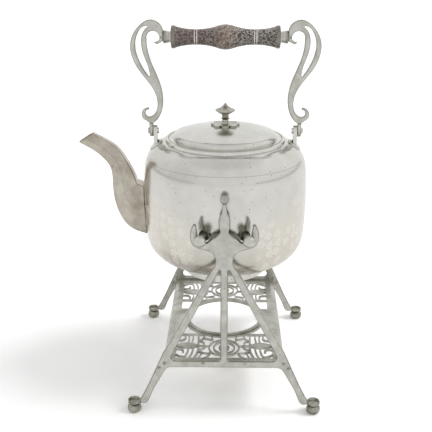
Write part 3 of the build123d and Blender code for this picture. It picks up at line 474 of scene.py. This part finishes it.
def paint_arris_reflection(paint, arris_reflection_tone):
    """Paints a darker tone along every arris: painted dark reflection."""
    tree = paint.node_tree
    surface = surface_of(paint)
    form = put(tree, "ShaderNodeNewGeometry")
    arris = put(tree, "ShaderNodeMapRange", {
        "Value": form.outputs["Pointiness"], "From Min": arris_from, "From Max": arris_full,
        "To Min": 0.0, "To Max": arris_reflection_strength,
    })
    rubbed = put(tree, "ShaderNodeMix", {
        0: arris.outputs[0], 6: surface.inputs["Base Color"].links[0].from_socket,
        7: tone(arris_reflection_tone),
    }, data_type="RGBA")
    tree.links.new(rubbed.outputs[2], surface.inputs["Base Color"])


def filed(node_name, body_name, paint, skin_mm, easing):
    """A piece's own shape with its arrises worn round, standing for its CAD node."""
    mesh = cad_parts[node_name].data.copy()
    mesh.name = node_name + "_filed"
    mesh.materials.clear()
    mesh.materials.append(paint)
    piece = bpy.data.objects.new(node_name + "_filed", mesh)
    bpy.context.scene.collection.objects.link(piece)
    skin = piece.modifiers.new("skin", "REMESH")
    skin.mode = "VOXEL"
    skin.voxel_size = skin_mm / 1000
    skin.use_smooth_shade = True
    worn = piece.modifiers.new("worn", "SMOOTH")
    worn.factor = 0.5
    worn.iterations = easing
    ready = bpy.context.evaluated_depsgraph_get()
    piece.data = bpy.data.meshes.new_from_object(piece.evaluated_get(ready))
    piece.modifiers.clear()
    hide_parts(node_name)
    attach(piece, body_name)
    return piece


# Painted dark reflection along the arrises of the castings.
paint_arris_reflection(cast, "#6f6c61")
for node_name in ("handle_upright_left", "handle_upright_right"):
    filed(node_name, "handle", cast, upright_skin_mm, upright_easing)
for node_name in ("grip_collar_left", "grip_collar_right"):
    dress(node_name, cast)

# ---- stand frames and finials ----
# The same castings, thicker and less rounded. The frames' legs are filed straight along their outer
# edges. The spearhead on top is widest low down and thin under the finial, which sits low on it.
frame_skin_mm, frame_easing = 0.5, 5
finial_easing = 1
leg_top_z, leg_low_z = 0.1375, 0.0593
leg_top_x, leg_low_x = 0.0106, 0.0532  # outer edge of a leg, from the middle of the frame
leg_fullness = 0.0030  # filed off the middle of that edge
window_edge = ((0.0513, 0.0489), (0.1384, 0.0037))  # (height, from the middle), low and high end
spear_low_z, spear_neck_z, spear_top_z = 0.1680, 0.1900, 0.1982
spear_blend = 0.004  # height over which the leg's width passes into the spearhead's
spear_drop = 0.0028
spear_outline = (  # (height, half width)
    (spear_low_z, 0.0036), (0.1728, 0.0041), (0.1760, 0.0050), (0.1812, 0.0050),
    (0.1842, 0.0040), (0.1868, 0.0024), (0.1903, 0.0017), (spear_top_z, 0.0017),
)
frame_lean = math.radians(2.5)
slice_h = 0.001


def between(pairs, at):
    """Value at a place along a list of (place, value) pairs, straight between them."""
    for (low, low_value), (high, high_value) in zip(pairs, pairs[1:]):
        if at <= high:
            return low_value + (high_value - low_value) * max(0, at - low) / (high - low)
    return pairs[-1][1]


def sink(point):
    """Lowers a point of the frame's top along the frame's lean, the more the higher it is."""
    share = max(0, point.co.z - spear_neck_z) / (spear_top_z - spear_neck_z)
    drop = spear_drop * min(1, share)
    point.co.z -= drop
    point.co.y += math.copysign(drop * math.tan(frame_lean), point.co.y)


for node_name in ("frame_front", "frame_back"):
    piece = filed(node_name, "stand", cast, frame_skin_mm, frame_easing)
    widest = {}
    for point in piece.data.vertices:
        out, level = abs(point.co.x - axis_x), round(point.co.z / slice_h)
        if out < leg_top_x and point.co.z > spear_low_z:
            widest[level] = max(widest.get(level, 0), out)
    spear_as_cast = [(level * slice_h, widest[level]) for level in sorted(widest)]
    for point in piece.data.vertices:
        side = math.copysign(1, point.co.x - axis_x)
        out, up = abs(point.co.x - axis_x), point.co.z
        down = (leg_top_z - up) / (leg_top_z - leg_low_z)
        inner = between(window_edge, up)
        if 0 < down < 1 and out > inner:
            width = leg_top_x + (leg_low_x - leg_top_x) * down - inner
            fullness = 4 * leg_fullness * down * (1 - down)
            point.co.x = axis_x + side * (inner + (out - inner) * width / (width + fullness))
        if up > spear_low_z and out < leg_top_x:
            sink(point)
            ease = min(1, (up - spear_low_z) / spear_blend)
            share = between(spear_outline, point.co.z) / between(spear_as_cast, up)
            point.co.x = axis_x + side * out * (1 - ease + ease * share)
for node_name in ("finial_front", "finial_back"):
    piece = filed(node_name, "stand", cast, frame_skin_mm, finial_easing)
    for point in piece.data.vertices:
        sink(point)

# ---- feet ----
# Turned buns under dished discs, never polished: the plate has gone a dark, dull grey.
foot_plate = plated("tarnished turned feet", "#b3b1a6", "#7f7c70", roughness=(0.3, 0.45),
                    cloud_mm=6.0, grain_mm=1.0, grain_depth_mm=0.03)
for node_name in ("foot_front_left", "foot_front_right", "foot_back_left", "foot_back_right"):
    dress(node_name, foot_plate)

# ---- spout ----
# Raised six-sided and soldered on the flank. Its plate has worn thin, and the warm base metal
# shows through; along the six ridges a darker tone is painted: painted dark reflection.
spout_skin_mm, spout_easing = 0.45, 3
spout_plate = plated("thin silver plate over warm base metal", "#c0baae", "#a0978a",
                     roughness=(0.12, 0.24), cloud_mm=18.0, grain_mm=1.2, grain_depth_mm=0.006)
# Painted dark reflection along the spout's six ridges.
paint_arris_reflection(spout_plate, "#6d6252")
filed("spout", "kettle", spout_plate, spout_skin_mm, spout_easing)

# ---- platform, burner ring and skirts ----
# Sawn and bent nickel silver sheet, plated, with the saw's dullness left in it.
sheet = plated("sawn plated sheet", "#c4c3bb", "#a3a299", roughness=(0.3, 0.44),
               cloud_mm=12.0, grain_mm=0.9, grain_depth_mm=0.015)
for node_name in ("platform_plate", "pierced_panel_front", "pierced_panel_back", "burner_ring",
                  "side_skirt_left", "side_skirt_right"):
    dress(node_name, sheet)

# ---- steel pins and screws ----
# Drawn wire and a hexagon nut, grey and a little browned.
steel = plated("drawn steel wire", "#b4b1aa", "#7b786f", roughness=(0.3, 0.45),
               cloud_mm=5.0, grain_mm=0.5, grain_depth_mm=0.01)
for node_name in ("hinge_pin", "grip_rod", "knob_nut", "stand_rivets"):
    dress(node_name, steel)

# ---- grip: turned dark wood with pale inlay ----
# Rosewood turned to two waists, waxed, and covered with fine curled lines of pale inlay, denser to
# the right. The hand has rubbed the middle swelling lighter. Two pairs of pale wires are let in.
grain_per_m = 260.0  # a vein of the wood each 4 mm or so
curls_per_m = 300.0  # a curl of the inlay each 3.3 mm
bends_per_m = 330.0  # how often a line of the inlay bends
bend_reach = 0.006  # and how far
thread_core, thread_edge = 0.04, 0.13  # half the width of a line, as shares of a curl
thread_strength = 0.8
thread_relief = 0.0002
left_strength = 0.5  # of the lines at the left end
change_from, change_to = -0.030, 0.020  # the lines gain strength between these, from the middle
rub_from, rub_to = 0.002, 0.013  # the rubbed middle fades out between these
rub_strength = 0.65
wax_roughness = 0.38
brown_wood = "#443131", "#84665c"  # towards the left end, dark and pale vein
dark_wood = "#2f2c30", "#5f5654"  # towards the right end
rubbed_wood, thread_tone = "#8f7565", "#cdc5ba"

grip_low, grip_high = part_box("grip")
grip_middle = (grip_low.x + grip_high.x) / 2
wood = bpy.data.materials.new("dark turned rosewood with pale inlay")
wood.use_nodes = True
tree = wood.node_tree
tree.nodes.clear()
place = put(tree, "ShaderNodeTexCoord")
xyz = put(tree, "ShaderNodeSeparateXYZ", {0: place.outputs["Object"]})
grain = put(tree, "ShaderNodeTexNoise", {
    "Vector": place.outputs["Object"], "Scale": grain_per_m, "Detail": 5.0, "Roughness": 0.6,
})
sway = put(tree, "ShaderNodeTexNoise", {
    "Vector": place.outputs["Object"], "Scale": bends_per_m, "Detail": 1.0,
})
shift = put(tree, "ShaderNodeVectorMath", {
    0: sway.outputs["Color"], 1: (bend_reach,) * 3,
}, operation="MULTIPLY")
bent = put(tree, "ShaderNodeVectorMath", {
    0: place.outputs["Object"], 1: shift.outputs[0],
}, operation="ADD")
curls = put(tree, "ShaderNodeTexVoronoi", {
    "Vector": bent.outputs[0], "Scale": curls_per_m,
}, feature="DISTANCE_TO_EDGE")
thread = put(tree, "ShaderNodeMapRange", {
    "Value": curls.outputs["Distance"], "From Min": thread_core, "From Max": thread_edge,
    "To Min": 1.0, "To Max": 0.0,
})
along = put(tree, "ShaderNodeMath", {0: xyz.outputs["X"], 1: grip_middle}, operation="SUBTRACT")
rightward = put(tree, "ShaderNodeMapRange", {
    "Value": along.outputs[0], "From Min": change_from, "From Max": change_to,
    "To Min": left_strength, "To Max": 1.0,
}, interpolation_type="SMOOTHSTEP")
off_middle = put(tree, "ShaderNodeMath", {0: along.outputs[0]}, operation="ABSOLUTE")
rub = put(tree, "ShaderNodeMapRange", {
    "Value": off_middle.outputs[0], "From Min": rub_from, "From Max": rub_to,
    "To Min": rub_strength, "To Max": 0.0,
}, interpolation_type="SMOOTHSTEP")
brown = put(tree, "ShaderNodeMix", {
    0: grain.outputs["Fac"], 6: tone(brown_wood[0]), 7: tone(brown_wood[1]),
}, data_type="RGBA")
dark = put(tree, "ShaderNodeMix", {
    0: grain.outputs["Fac"], 6: tone(dark_wood[0]), 7: tone(dark_wood[1]),
}, data_type="RGBA")
veined = put(tree, "ShaderNodeMix", {
    0: rightward.outputs[0], 6: brown.outputs[2], 7: dark.outputs[2],
}, data_type="RGBA")
rubbed = put(tree, "ShaderNodeMix", {
    0: rub.outputs[0], 6: veined.outputs[2], 7: tone(rubbed_wood),
}, data_type="RGBA")
shown = put(tree, "ShaderNodeMath", {
    0: thread.outputs[0], 1: rightward.outputs[0],
}, operation="MULTIPLY")
strength = put(tree, "ShaderNodeMath", {
    0: shown.outputs[0], 1: thread_strength,
}, operation="MULTIPLY")
inlaid = put(tree, "ShaderNodeMix", {
    0: strength.outputs[0], 6: rubbed.outputs[2], 7: tone(thread_tone),
}, data_type="RGBA")
relief = put(tree, "ShaderNodeBump", {
    "Height": thread.outputs[0], "Strength": 0.4, "Distance": thread_relief,
})
surface = put(tree, "ShaderNodeBsdfPrincipled", {
    "Base Color": inlaid.outputs[2], "Roughness": wax_roughness, "Normal": relief.outputs[0],
})
put(tree, "ShaderNodeOutputMaterial", {"Surface": surface.outputs[0]})
dress("grip", wood)
inlay = plated("pale inlaid wire", "#e6dfd9", "#c9c0b8", roughness=(0.3, 0.45),
               cloud_mm=4.0, grain_mm=0.5, grain_depth_mm=0.01)
dress("grip_bands", inlay)
